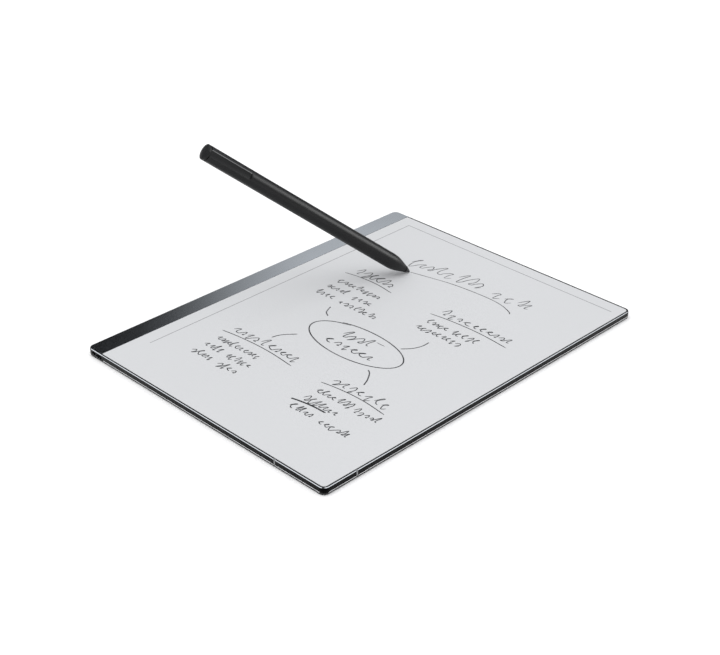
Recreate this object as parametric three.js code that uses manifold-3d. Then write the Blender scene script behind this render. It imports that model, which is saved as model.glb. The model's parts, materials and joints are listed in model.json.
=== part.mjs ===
// Slim paper-like note tablet lying on its feet, with its stylus standing on the screen.
// Millimetres. +X is the reader's right, +Y the top of the page, +Z up from the table.
// The origin is on the table, under the middle of the tablet.
import * as THREE from 'three';
import { mergeVertices } from 'three/addons/utils/BufferGeometryUtils.js';
import Module from 'manifold-3d';

const wasm = await Module();
wasm.setup();

// ---- driving dimensions: tablet ----
const WIDTH = 187;
const LENGTH = 246;
const TOP = 4.7; // height of the screen face above the table
const CORNER_R = 3.6;
const X_END = WIDTH / 2;
const Y_END = LENGTH / 2;

const FRAME_BOTTOM = 1.15;
const FRAME_WALL = 0.85;
const TOP_CHAMFER = { inset: 0.3, height: 0.3 };
const LOWER_CHAMFER = { inset: 0.2, height: 0.6 };
const SPINE_LOWER_CHAMFER = { inset: 0.15, height: 0.15 };

const COVER_INSET = 0.3; // the rear cover is this much smaller than the frame
const COVER_Z = [0.3, 1.1];
const COVER_LOWER_EDGE = { inset: 0.2, height: 0.2 };
const COVER_UPPER_EDGE = { inset: 0.05, height: 0.05 };
const COVER_FLOOR_TOP = 0.86;
const LIP_INSET = 1.35;
const LIP_WALL = 0.7;
const LIP_TOP = 2.0;
const LIP_NOTCH = { port: 10.4, button: 12, contacts: 18, depth: 6 };

const SPINE_INNER_X = -81.7; // right edge of the spine's top wall
const SPINE_END_X = -79.6; // where the spine's end walls meet the side rails
const SPINE_TOP_WALL = 0.45;

const BREAK_BOTTOM_X = 58.6;
const BREAK_RIGHT_Y = -100.6;
const BREAK_WIDTH = 0.9;
const JOINT_GAP = 0.06; // between pieces of the tablet that touch face to face

const SCREEN_INSET = 1.35;
const SCREEN_LEFT_X = -81.5;
const SCREEN_LOWER_EDGE = { inset: 0.03, height: 0.03 };
const SCREEN_UPPER_EDGE = { inset: 0.06, height: 0.06 };
const GASKET_CLEARANCE = 0.08;
const GASKET_Z = [4.12, 4.45];

// heights of the layers between the rear cover and the screen face
const LAYER = {
  foot: [0, 0.67],
  board: [1.1, 1.7],
  battery: [1.05, 2.5],
  chassis: [2.66, 2.94],
  shield: [3.0, 3.15],
  digitizer: [3.2, 3.5],
  panel: [3.55, 4.12],
  cover: [4.2, TOP],
};

const PORT_X = -85;
const PORT_Z = 2.72;
const PORT_OPENING = { width: 8.3, height: 2.4 };
const PORT_WALL = 0.28;
const PORT_DEPTH = 7.2;
const PORT_SETBACK = 1.5; // from the outer wall to the shell's mouth
const PORT_END_WALL = 0.6;
const PORT_TONGUE = { width: 6.6, thickness: 0.7, setback: 1.2 };
const PORT_BOARD = { width: 10, length: 20, z: [2.1, 2.7], shift: -1.6 };
// The ribbon runs along the spine and steps inwards to the main board.
const PORT_RIBBON = { x: [-90.5, -84.5], z: [1.88, 2.0], start: 12, end: [-74, 46], endWidth: 6 };

const BUTTON_X = -84.9;
const BUTTON_Z = 2.9;
const BUTTON = { width: 6.6, height: 1.5, depth: 1.5 };
const BUTTON_GAP = 0.3;
const BUTTON_TRAVEL = 0.3;
const BUTTON_SUNK = 0.04; // the cap's face stands this far behind the wall's face
const BUTTON_FLANGE = { overhang: 0.8, thickness: 0.35, height: 2.3 };
const SWITCH = { width: 4, depth: 1.6, height: 1.6, gap: 0.05 };

const CONTACT_COUNT = 5;
const CONTACT_PITCH = 2.6;
const CONTACT_Z = 2.9;
const CONTACT = { length: 1.6, height: 0.8 };
const CONTACT_SPAN = (CONTACT_COUNT - 1) * CONTACT_PITCH + CONTACT.length;
const CONTACT_SLOT_GROWTH = { length: 2, height: 0.8 };
const HOLDER_INSERT = { growth: 1.8, height: 1.45 };
const HOLDER_FLANGE = { growth: 4, height: 2.2, thickness: 1.0 };

const FOOT = { length: 22, width: 6 };
const FOOT_PLACES = [[-76, 108], [76, 108], [-76, -108], [76, -108]];
const FOOT_RECESS_TOP = 0.72;
const FOOT_GAP = 0.05; // round each foot in its recess
const FOOT_EDGE = { inset: 0.12, height: 0.12 };

// ---- driving dimensions: pieces inside the tablet ----
const CHASSIS_WINDOW = { width: 30, length: 44, cornerR: 3 };
const CHASSIS_WINDOW_PLACES = [[-20, -45], [20, -45], [-20, 70], [30, 70]];
const BATTERY = { x: [-62, 62], y: [-108, 12], cornerR: 2 };
const BATTERY_EDGE = { inset: 0.3, height: 0.3 };
const BATTERY_BOARD = { x: [-22, 22], y: [12.4, 16.4], z: [1.1, 2.1] };
const MAIN_BOARD = { x: [-78, 44], y: [36, 112], cornerR: 1 };
const MAIN_BOARD_NOTCH = { x: [-30, 10], y: [34, 52] };
const CHIP_HEIGHT = 0.5;
const CHIPS = {
  processor: { at: [-56, 78], size: [14, 14] },
  memory_chip: { at: [-56, 97], size: [12, 10] },
  storage_chip: { at: [-36, 96], size: [11.5, 13] },
  power_chip: { at: [-58, 56], size: [8, 8] },
  wireless_module: { at: [26, 98], size: [12, 12] },
};
const SHIELD_CAN = { at: [-56, 86], size: [22, 40], wall: 0.2, top: 2.58 };
const ANTENNA = { outerInset: 3, innerInset: 5.5, z: [1.1, 2.3], clearOfBreaks: [4, 2] };
const FLEX_THICKNESS = 0.12;
const FLEX_START_Y = Y_END - 4.7;
const FLEX_OUTER_Y = Y_END - 3;
const FLEX_END_Y = 104;
const FLEX_BOTTOM_Z = 2.38;
const DISPLAY_FLEX = { x: [-20, 16], top: 3.9 };
const DIGITIZER_FLEX = { x: [18.5, 34.5], top: 3.4 };
const SPINE_MAGNET = { x: [-91, -87], length: 24, z: [1.2, 1.8], places: [-62, 62] };
const DOCK_MAGNET = { x: [87.6, 91], length: 20, z: [1.1, 2.5], places: [-22, 22] };

// ---- driving dimensions: stylus, measured from the tip of its nib ----
const PEN_LENGTH = 156.6;
const PEN_R = 4.75;
const PEN_BORE_R = 3.2;
const NOSE_START = 4.4;
const NOSE_TAPER_END = 12.9; // where the straight taper would meet the barrel
const NOSE_BLEND = [8, 16.5]; // the taper curves into the barrel along this stretch
const NOSE_R = 2.2;
const NOSE_EDGE = 0.15; // small bevel round the nose's opening
const NOSE_BLEND_STEPS = 8;
const NOSE_BORE_R = 1.45;
const BORE_START = 19;
const BARREL_END = 154.4;
const CAP_SEAM = 0.4;
const CAP = { edge: 0.35, edgeSteps: 4, dome: 0.28, stemStart: 136, plugStart: 148, plugClearance: 0.35 };
const NIB_BASE = 4.0;
const NIB_STEM_R = 1.1;
const NIB_STEM_END = 33;
const PEN_ROUND_STEPS = 48;
const PEN_INNER_CLEARANCE = 0.4; // between the inner pieces and the bore
const NIB_COIL_SPAN = [20, 32];
const NIB_SENSOR_SPAN = [33.6, 39];
const PEN_BOARD = { width: 4.6, height: [0.35, 1.15], span: [42, 120] };
const PEN_CARRIER = { width: 4.6, height: [-0.75, 0.0], span: [42, 126] };
const PEN_MAGNET = { width: 3, height: [-2.2, -1.1], length: 14, places: [56, 106] };
const ERASER_SENSOR_SPAN = [129, 135.5];
const ERASER_COIL_SPAN = [137, 147];

const LABEL = { length: 28.4, width: 3.8, depth: 0.75, tiltDeg: 4, cornerR: 1.1 };
const LABEL_ANGLE_DEG = 112;

const TIP_POINT = [-28.57, 67.0]; // where the nib stands on the screen
const TIP_RISE = 0.26; // nib's end point above the screen; its rounded side then clears it by 0.05
const PEN_HEADING_DEG = -114.24; // direction that the stylus leans to, about +Z
const PEN_TILT_DEG = 51.88; // lean away from upright

// ---- materials ----
function finish(color, roughness, metalness) {
  return new THREE.MeshStandardMaterial({ color, roughness, metalness });
}

const anodised = finish('#5b5e63', 0.35, 0.9);
const frameMetal = finish('#1d1e20', 0.3, 0.85);
const breakPlastic = finish('#77797b', 0.5, 0);
const coverPlastic = finish('#2a2b2d', 0.55, 0);
const screenFilm = finish('#dedfe1', 0.6, 0);
const panelFoil = finish('#c9c9c4', 0.7, 0);
const gasketRubber = finish('#161616', 0.8, 0);
const footRubber = finish('#222222', 0.9, 0);
const boardGreen = finish('#1c4a33', 0.6, 0);
const chipBlack = finish('#17181a', 0.5, 0);
const steel = finish('#a9abad', 0.35, 0.9);
const foil = finish('#8f8f8a', 0.5, 0.6);
const flexAmber = finish('#9a5a1c', 0.5, 0);
const contactGold = finish('#b8974e', 0.3, 1);
const magnetNickel = finish('#b5b6b8', 0.3, 1);
const copper = finish('#a5603a', 0.4, 0.8);
const penBlack = finish('#202224', 0.6, 0);
const nibBlack = finish('#1a1b1c', 0.7, 0);

// ---- helpers ----
function toSolid(geometry) {
  const bare = geometry.clone();
  bare.deleteAttribute('normal');
  bare.deleteAttribute('uv');
  const merged = mergeVertices(bare);
  return new wasm.Manifold(new wasm.Mesh({
    numProp: 3,
    vertProperties: Float32Array.from(merged.attributes.position.array),
    triVerts: Uint32Array.from(merged.index.array),
  }));
}

function toGeometry(solid) {
  const mesh = solid.getMesh();
  const geometry = new THREE.BufferGeometry();
  geometry.setAttribute('position', new THREE.BufferAttribute(mesh.vertProperties, 3));
  geometry.setIndex(new THREE.BufferAttribute(mesh.triVerts, 1));
  geometry.computeVertexNormals();
  return geometry;
}

function add(parent, name, geometry, material) {
  const mesh = new THREE.Mesh(geometry, material);
  mesh.name = name;
  parent.add(mesh);
  return mesh;
}

function addSolid(parent, name, solid, material) {
  return add(parent, name, toGeometry(solid), material);
}

// A box given by its spans along X, Y and Z.
function boxGeometry(xSpan, ySpan, zSpan) {
  const size = [xSpan, ySpan, zSpan].map((span) => span[1] - span[0]);
  const middle = [xSpan, ySpan, zSpan].map((span) => (span[0] + span[1]) / 2);
  return new THREE.BoxGeometry(...size).translate(...middle);
}

function boxSolid(xSpan, ySpan, zSpan) {
  return toSolid(boxGeometry(xSpan, ySpan, zSpan));
}

function around(middle, size) {
  return [middle - size / 2, middle + size / 2];
}

function addBlock(parent, name, material, xSpan, ySpan, zSpan) {
  return add(parent, name, boxGeometry(xSpan, ySpan, zSpan), material);
}

// Rectangle with round corners; radii run from lower left, anticlockwise.
function roundedRectangle([x0, x1], [y0, y1], radii) {
  const [r0, r1, r2, r3] = radii;
  const shape = new THREE.Shape();
  shape.moveTo(x0 + r0, y0);
  shape.lineTo(x1 - r1, y0);
  if (r1 > 0) shape.absarc(x1 - r1, y0 + r1, r1, -Math.PI / 2, 0, false);
  shape.lineTo(x1, y1 - r2);
  if (r2 > 0) shape.absarc(x1 - r2, y1 - r2, r2, 0, Math.PI / 2, false);
  shape.lineTo(x0 + r3, y1);
  if (r3 > 0) shape.absarc(x0 + r3, y1 - r3, r3, Math.PI / 2, Math.PI, false);
  shape.lineTo(x0, y0 + r0);
  if (r0 > 0) shape.absarc(x0 + r0, y0 + r0, r0, Math.PI, Math.PI * 1.5, false);
  return shape;
}

function evenCorners(radius) {
  return [radius, radius, radius, radius];
}

// The tablet's outline, moved inwards by inset.
function tabletOutline(inset) {
  const radius = Math.max(CORNER_R - inset, 1);
  return roundedRectangle(
    [-X_END + inset, X_END - inset],
    [-Y_END + inset, Y_END - inset],
    evenCorners(radius),
  );
}

function extruded(shape, [z0, z1], chamfer = { inset: 0, height: 0 }) {
  const geometry = new THREE.ExtrudeGeometry(shape, {
    depth: z1 - z0 - 2 * chamfer.height,
    curveSegments: 6,
    bevelEnabled: chamfer.height > 0,
    bevelThickness: chamfer.height,
    bevelSize: chamfer.inset,
    bevelOffset: -chamfer.inset,
    bevelSegments: 1,
  });
  return geometry.translate(0, 0, z0 + chamfer.height);
}

function slab(shape, zSpan, chamfer) {
  return toSolid(extruded(shape, zSpan, chamfer));
}

// A slab whose upper and lower edges have chamfers of their own.
function chamferedSlab(shape, [z0, z1], lower, upper) {
  const middle = (z0 + z1) / 2;
  const upperHalf = slab(shape, [middle - upper.height, z1], upper);
  const lowerHalf = slab(shape, [z0, middle + lower.height], lower);
  return upperHalf.add(lowerHalf);
}

// A turned piece: profile is a closed run of [radius, height] points.
function turned(profile) {
  const points = profile.map(([radius, height]) => new THREE.Vector2(radius, height));
  const geometry = new THREE.LatheGeometry(points, PEN_ROUND_STEPS);
  // LatheGeometry turns about Y; stand it up along Z.
  return geometry.rotateX(Math.PI / 2);
}

function tube(innerR, outerR, [z0, z1]) {
  return turned([[innerR, z0], [outerR, z0], [outerR, z1], [innerR, z1], [innerR, z0]]);
}

function drum(radius, [z0, z1]) {
  return turned([[0, z0], [radius, z0], [radius, z1], [0, z1]]);
}

// ---- tablet: edge frame, spine and rear cover ----
function frameRing(lowerChamfer) {
  const outer = chamferedSlab(tabletOutline(0), [FRAME_BOTTOM, TOP], lowerChamfer, TOP_CHAMFER);
  return outer.subtract(slab(tabletOutline(FRAME_WALL), [FRAME_BOTTOM - 1, TOP + 1]));
}

const EVERYWHERE = [-200, 200];
const ALL_HEIGHTS = [-1, 10];

function addFrame(tablet) {
  const ring = frameRing(LOWER_CHAMFER);
  const halfBreak = BREAK_WIDTH / 2;
  const corner = boxSolid(
    [BREAK_BOTTOM_X + halfBreak + JOINT_GAP, X_END + 1],
    [-Y_END - 1, BREAK_RIGHT_Y - halfBreak - JOINT_GAP],
    ALL_HEIGHTS,
  );
  const bottomSide = boxSolid(
    [SPINE_END_X + JOINT_GAP, BREAK_BOTTOM_X - halfBreak - JOINT_GAP],
    [-Y_END - 1, -Y_END + 10],
    ALL_HEIGHTS,
  );
  const rightAndTop = boxSolid(
    [SPINE_END_X + JOINT_GAP, X_END + 1],
    [BREAK_RIGHT_Y + halfBreak + JOINT_GAP, Y_END + 1],
    ALL_HEIGHTS,
  );
  addSolid(tablet, 'frame_corner', ring.intersect(corner), frameMetal);
  addSolid(tablet, 'frame_bottom_rail', ring.intersect(bottomSide), frameMetal);
  addSolid(tablet, 'frame_side_rail', ring.intersect(rightAndTop), frameMetal);
  const bottomBreak = boxSolid(around(BREAK_BOTTOM_X, BREAK_WIDTH), [-Y_END - 1, -Y_END + 10], ALL_HEIGHTS);
  const rightBreak = boxSolid([X_END - 10, X_END + 1], around(BREAK_RIGHT_Y, BREAK_WIDTH), ALL_HEIGHTS);
  addSolid(tablet, 'frame_break_bottom', ring.intersect(bottomBreak), breakPlastic);
  addSolid(tablet, 'frame_break_right', ring.intersect(rightBreak), breakPlastic);
}

// Slot outline in a wall that faces along Y: a pill in X and Z, as a solid along Y.
function pillThroughWall(x, z, width, height, ySpan) {
  const radius = height / 2;
  const pill = roundedRectangle(around(0, width), around(0, height), evenCorners(radius));
  const geometry = extruded(pill, [0, ySpan[1] - ySpan[0]]);
  // The pill's depth axis turns from +Z to -Y.
  return toSolid(geometry.rotateX(Math.PI / 2).translate(x, ySpan[1], z));
}

function contactSlot(xSpan) {
  const length = CONTACT_SPAN + CONTACT_SLOT_GROWTH.length;
  const height = CONTACT.height + CONTACT_SLOT_GROWTH.height;
  return boxSolid(xSpan, around(0, length), around(CONTACT_Z, height));
}

function addSpine(tablet) {
  const spineSide = boxSolid([-X_END - 1, SPINE_END_X], EVERYWHERE, ALL_HEIGHTS);
  const walls = frameRing(SPINE_LOWER_CHAMFER).intersect(spineSide);
  const topWall = chamferedSlab(tabletOutline(0), [FRAME_BOTTOM, TOP], LOWER_CHAMFER, TOP_CHAMFER)
    .intersect(boxSolid([-X_END - 1, SPINE_INNER_X], EVERYWHERE, [TOP - SPINE_TOP_WALL, TOP + 1]));
  const portHole = pillThroughWall(
    PORT_X, PORT_Z, PORT_OPENING.width, PORT_OPENING.height, [-Y_END - 1, -Y_END + FRAME_WALL + 1]);
  const buttonHole = pillThroughWall(
    BUTTON_X, BUTTON_Z, BUTTON.width + 2 * BUTTON_GAP, BUTTON.height + 2 * BUTTON_GAP,
    [Y_END - FRAME_WALL - 1, Y_END + 1]);
  const spine = walls.add(topWall)
    .subtract(portHole)
    .subtract(buttonHole)
    .subtract(contactSlot([-X_END - 1, -X_END + FRAME_WALL + 0.2]));
  addSolid(tablet, 'spine_bar', spine, anodised);
}

function footOutline([x, y], growth) {
  const width = FOOT.width + growth;
  const radius = width / 2;
  return roundedRectangle(around(x, FOOT.length + growth), around(y, width), evenCorners(radius));
}

function addRearCover(tablet) {
  const outline = tabletOutline(COVER_INSET);
  let cover = chamferedSlab(outline, COVER_Z, COVER_LOWER_EDGE, COVER_UPPER_EDGE);
  cover = cover.subtract(slab(tabletOutline(LIP_INSET + LIP_WALL), [COVER_FLOOR_TOP, TOP]));
  const lip = slab(tabletOutline(LIP_INSET), [COVER_FLOOR_TOP - 0.3, LIP_TOP])
    .subtract(slab(tabletOutline(LIP_INSET + LIP_WALL), [COVER_FLOOR_TOP - 0.5, TOP]));
  // The lip gives way to the port, the button and the contacts.
  const lipHeights = [COVER_Z[1], TOP];
  const { depth } = LIP_NOTCH;
  const portNotch = boxSolid(around(PORT_X, LIP_NOTCH.port), [-Y_END, -Y_END + depth], lipHeights);
  const buttonNotch = boxSolid(around(BUTTON_X, LIP_NOTCH.button), [Y_END - depth, Y_END], lipHeights);
  const contactNotch = boxSolid([-X_END, -X_END + depth], around(0, LIP_NOTCH.contacts), lipHeights);
  cover = cover.add(lip).subtract(portNotch).subtract(buttonNotch).subtract(contactNotch);
  FOOT_PLACES.forEach((place) => {
    cover = cover.subtract(slab(footOutline(place, 2 * FOOT_GAP), [-1, FOOT_RECESS_TOP]));
  });
  addSolid(tablet, 'rear_cover', cover, coverPlastic);
  FOOT_PLACES.forEach((place, index) => {
    const foot = extruded(footOutline(place, 0), LAYER.foot, FOOT_EDGE);
    add(tablet, `foot_${index + 1}`, foot, footRubber);
  });
}

// ---- tablet: screen stack ----
// Square at the spine, and concentric with the frame's corners on the right.
function screenOutline(inset) {
  const radius = CORNER_R - inset;
  return roundedRectangle(
    [SCREEN_LEFT_X, X_END - inset],
    [-Y_END + inset, Y_END - inset],
    [0, radius, radius, 0],
  );
}

function addScreenStack(tablet) {
  const cover = chamferedSlab(
    screenOutline(SCREEN_INSET), LAYER.cover, SCREEN_LOWER_EDGE, SCREEN_UPPER_EDGE);
  addSolid(tablet, 'screen_cover', cover, screenFilm);
  const gasketOuter = screenOutline(FRAME_WALL + GASKET_CLEARANCE);
  const gasketHole = boxSolid(
    [-X_END, SCREEN_LEFT_X + 0.01], EVERYWHERE, ALL_HEIGHTS)
    .add(slab(screenOutline(SCREEN_INSET - GASKET_CLEARANCE), [0, TOP + 1]));
  const gasket = slab(gasketOuter, GASKET_Z).subtract(gasketHole);
  addSolid(tablet, 'screen_gasket', gasket, gasketRubber);
  const screenX = [SCREEN_LEFT_X + 0.6, X_END - 3.4];
  const screenY = [-Y_END + 10, Y_END - 5];
  addBlock(tablet, 'display_panel', panelFoil, screenX, screenY, LAYER.panel);
  addBlock(tablet, 'pen_digitizer', boardGreen, screenX, screenY, LAYER.digitizer);
  addBlock(tablet, 'digitizer_shield', foil, screenX, screenY, LAYER.shield);
}

function addChassis(tablet) {
  const plate = roundedRectangle([SCREEN_LEFT_X, X_END - 1.5], [-Y_END + 1.5, Y_END - 5], [1, 4, 4, 1]);
  const portNotch = boxSolid([-X_END, PORT_X + 6], [-Y_END, -Y_END + 10], ALL_HEIGHTS);
  let chassis = slab(plate, LAYER.chassis).subtract(portNotch);
  // Lightening windows behind the battery and the boards.
  const { width, length, cornerR } = CHASSIS_WINDOW;
  CHASSIS_WINDOW_PLACES.forEach(([x, y]) => {
    const windowShape = roundedRectangle(around(x, width), around(y, length), evenCorners(cornerR));
    chassis = chassis.subtract(slab(windowShape, [0, TOP]));
  });
  addSolid(tablet, 'chassis_plate', chassis, steel);
}

// ---- tablet: electronics ----
function addBattery(tablet) {
  const packShape = roundedRectangle(BATTERY.x, BATTERY.y, evenCorners(BATTERY.cornerR));
  add(tablet, 'battery', extruded(packShape, LAYER.battery, BATTERY_EDGE), foil);
  addBlock(tablet, 'battery_board', boardGreen, BATTERY_BOARD.x, BATTERY_BOARD.y, BATTERY_BOARD.z);
}

function addMainBoard(tablet) {
  const boardShape = roundedRectangle(MAIN_BOARD.x, MAIN_BOARD.y, evenCorners(MAIN_BOARD.cornerR));
  const board = slab(boardShape, LAYER.board)
    .subtract(boxSolid(MAIN_BOARD_NOTCH.x, MAIN_BOARD_NOTCH.y, ALL_HEIGHTS));
  addSolid(tablet, 'main_board', board, boardGreen);

  const onBoard = LAYER.board[1] + JOINT_GAP;
  Object.entries(CHIPS).forEach(([name, { at, size }]) => {
    addBlock(tablet, name, chipBlack,
      around(at[0], size[0]), around(at[1], size[1]), [onBoard, onBoard + CHIP_HEIGHT]);
  });

  const { at, size, wall, top } = SHIELD_CAN;
  const canOuter = boxSolid(around(at[0], size[0]), around(at[1], size[1]), [onBoard, top]);
  const canInner = boxSolid(
    around(at[0], size[0] - 2 * wall), around(at[1], size[1] - 2 * wall), [onBoard - 1, top - wall]);
  addSolid(tablet, 'shield_can', canOuter.subtract(canInner), steel);
}

function addCornerAntenna(tablet) {
  const [clearX, clearY] = ANTENNA.clearOfBreaks;
  const antenna = slab(tabletOutline(ANTENNA.outerInset), ANTENNA.z)
    .subtract(slab(tabletOutline(ANTENNA.innerInset), [0, TOP]))
    .intersect(boxSolid([BREAK_BOTTOM_X + clearX, X_END], [-Y_END, BREAK_RIGHT_Y - clearY], ALL_HEIGHTS));
  addSolid(tablet, 'corner_antenna', antenna, copper);
}

// A ribbon that leaves the screen stack, turns down round the chassis edge and ends above the main board.
function addFlex(tablet, name, { x, top }) {
  const innerY = FLEX_OUTER_Y - FLEX_THICKNESS;
  const shape = new THREE.Shape();
  shape.moveTo(FLEX_START_Y, top);
  shape.lineTo(FLEX_OUTER_Y, top);
  shape.lineTo(FLEX_OUTER_Y, FLEX_BOTTOM_Z);
  shape.lineTo(FLEX_END_Y, FLEX_BOTTOM_Z);
  shape.lineTo(FLEX_END_Y, FLEX_BOTTOM_Z + FLEX_THICKNESS);
  shape.lineTo(innerY, FLEX_BOTTOM_Z + FLEX_THICKNESS);
  shape.lineTo(innerY, top - FLEX_THICKNESS);
  shape.lineTo(FLEX_START_Y, top - FLEX_THICKNESS);
  shape.closePath();
  const geometry = extruded(shape, [0, x[1] - x[0]]);
  // The drawing's X is the tablet's Y, its Y is Z, and its depth runs along X.
  geometry.rotateX(Math.PI / 2).rotateZ(Math.PI / 2).translate(x[0], 0, 0);
  add(tablet, name, geometry, flexAmber);
}

function addPort(tablet) {
  const mouthY = -Y_END + PORT_SETBACK;
  const endY = mouthY + PORT_DEPTH;
  const outer = pillThroughWall(
    PORT_X, PORT_Z, PORT_OPENING.width + 2 * PORT_WALL, PORT_OPENING.height + 2 * PORT_WALL, [mouthY, endY]);
  const inner = pillThroughWall(
    PORT_X, PORT_Z, PORT_OPENING.width, PORT_OPENING.height, [mouthY - 1, endY - PORT_END_WALL]);
  addSolid(tablet, 'usb_shell', outer.subtract(inner), steel);
  const tongueY = [mouthY + PORT_TONGUE.setback, endY - PORT_END_WALL - 0.05];
  addBlock(tablet, 'usb_tongue', chipBlack,
    around(PORT_X, PORT_TONGUE.width), tongueY, around(PORT_Z, PORT_TONGUE.thickness));
  const boardY = endY + 0.1;
  addBlock(tablet, 'usb_board', boardGreen,
    around(PORT_X + PORT_BOARD.shift, PORT_BOARD.width), [boardY, boardY + PORT_BOARD.length], PORT_BOARD.z);
  const { x, z, start, end, endWidth } = PORT_RIBBON;
  const ribbon = new THREE.Shape();
  ribbon.moveTo(x[0], boardY + start);
  ribbon.lineTo(x[1], boardY + start);
  ribbon.lineTo(x[1], end[1] - endWidth);
  ribbon.lineTo(end[0], end[1] - endWidth);
  ribbon.lineTo(end[0], end[1]);
  ribbon.lineTo(x[0], end[1]);
  ribbon.closePath();
  add(tablet, 'usb_flex', extruded(ribbon, z), flexAmber);
}

// The holder fills the spine's slot, its flange stays inside, and the contacts stand just below its face.
function addContacts(tablet) {
  const wallInner = -X_END + FRAME_WALL;
  const insert = boxSolid(
    [-X_END + 0.05, wallInner + 0.3],
    around(0, CONTACT_SPAN + HOLDER_INSERT.growth),
    around(CONTACT_Z, HOLDER_INSERT.height),
  );
  const flangeX = wallInner + 0.2;
  const flange = boxSolid(
    [flangeX, flangeX + HOLDER_FLANGE.thickness],
    around(0, CONTACT_SPAN + HOLDER_FLANGE.growth),
    around(CONTACT_Z, HOLDER_FLANGE.height),
  );
  let holder = insert.add(flange);
  for (let index = 0; index < CONTACT_COUNT; index += 1) {
    const y = (index - (CONTACT_COUNT - 1) / 2) * CONTACT_PITCH;
    const pocket = boxSolid([-X_END - 1, wallInner + 2],
      around(y, CONTACT.length + 0.1), around(CONTACT_Z, CONTACT.height + 0.1));
    holder = holder.subtract(pocket);
    addBlock(tablet, `contact_${index + 1}`, contactGold,
      [-X_END + 0.12, wallInner + 1.6], around(y, CONTACT.length), around(CONTACT_Z, CONTACT.height));
  }
  addSolid(tablet, 'contact_holder', holder, breakPlastic);
}

function addMagnets(tablet) {
  const addRow = (name, { x, length, z, places }) => {
    places.forEach((y, index) => {
      addBlock(tablet, `${name}_${index + 1}`, magnetNickel, x, around(y, length), z);
    });
  };
  addRow('spine_magnet', SPINE_MAGNET);
  addRow('dock_magnet', DOCK_MAGNET);
}

// The button's cap stands in the wall's slot, and its flange stays inside the wall.
function addPowerButton(tablet) {
  const { overhang, thickness, height: flangeHeight } = BUTTON_FLANGE;
  const { width, height } = BUTTON;
  const capBack = Y_END - BUTTON.depth;
  const cap = pillThroughWall(BUTTON_X, BUTTON_Z, width, height, [capBack, Y_END - BUTTON_SUNK]);
  const flange = boxSolid(
    around(BUTTON_X, width + 2 * overhang),
    [capBack - thickness, capBack + 0.1],
    around(BUTTON_Z, flangeHeight),
  );
  addSolid(tablet, 'power_button', cap.add(flange), anodised);
  const switchFace = capBack - thickness - BUTTON_TRAVEL - SWITCH.gap;
  addBlock(tablet, 'power_switch', chipBlack,
    around(BUTTON_X, SWITCH.width), [switchFace - SWITCH.depth, switchFace], around(BUTTON_Z, SWITCH.height));
}

function makeTablet() {
  const tablet = new THREE.Group();
  addFrame(tablet);
  addSpine(tablet);
  addRearCover(tablet);
  addScreenStack(tablet);
  addChassis(tablet);
  addBattery(tablet);
  addMainBoard(tablet);
  addCornerAntenna(tablet);
  addFlex(tablet, 'display_flex', DISPLAY_FLEX);
  addFlex(tablet, 'digitizer_flex', DIGITIZER_FLEX);
  addPort(tablet);
  addContacts(tablet);
  addMagnets(tablet);
  addPowerButton(tablet);
  return tablet;
}

// ---- stylus: its own +Z runs from the nib's tip to the back end ----
function labelPocket() {
  const { length, width, depth, tiltDeg, cornerR } = LABEL;
  const open = width + 2;
  const shape = roundedRectangle(
    [BARREL_END - length, BARREL_END + 2], around(0, width), [cornerR, 0, 0, cornerR]);
  const geometry = extruded(shape, [PEN_R - depth, PEN_R - depth + open]);
  // The drawing's X becomes the pen's length and its depth points out from the pen's axis.
  geometry.rotateX(THREE.MathUtils.degToRad(tiltDeg));
  geometry.rotateY(-Math.PI / 2);
  geometry.rotateZ(Math.PI + THREE.MathUtils.degToRad(LABEL_ANGLE_DEG));
  return toSolid(geometry);
}

// Outer radius of the nose: a straight taper that rounds into the barrel.
function noseProfile() {
  const slope = (PEN_R - NOSE_R) / (NOSE_TAPER_END - NOSE_START);
  const blendR = NOSE_R + slope * (NOSE_BLEND[0] - NOSE_START);
  const points = [[NOSE_R - NOSE_EDGE, NOSE_START], [NOSE_R, NOSE_START + NOSE_EDGE]];
  for (let step = 0; step <= NOSE_BLEND_STEPS; step += 1) {
    const t = step / NOSE_BLEND_STEPS;
    // Quadratic curve that levels out where it meets the barrel.
    const radius = blendR + (PEN_R - blendR) * (2 * t - t * t);
    points.push([radius, NOSE_BLEND[0] + (NOSE_BLEND[1] - NOSE_BLEND[0]) * t]);
  }
  return points;
}

function addBarrel(stylus) {
  const outer = [...noseProfile(), [PEN_R, BARREL_END - 0.12], [PEN_R - 0.12, BARREL_END]];
  const inner = [
    [PEN_BORE_R, BARREL_END],
    [PEN_BORE_R, BORE_START],
    [NOSE_BORE_R, BORE_START - 3],
    [NOSE_BORE_R, NOSE_START],
  ];
  const profile = [...outer, ...inner, outer[0]];
  const barrel = toSolid(turned(profile)).subtract(labelPocket());
  addSolid(stylus, 'stylus_barrel', barrel, penBlack);
}

function addNib(stylus) {
  const baseR = NOSE_R - 0.1;
  const roundPoint = [[0, 0], [0.22, 0.04], [0.4, 0.18], [0.52, 0.45]];
  add(stylus, 'nib', turned([
    ...roundPoint,
    [baseR, NIB_BASE - 0.2], [baseR - 0.15, NIB_BASE],
    [NIB_STEM_R, NIB_BASE], [NIB_STEM_R, NIB_STEM_END], [0, NIB_STEM_END],
  ]), nibBlack);
}

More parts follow.
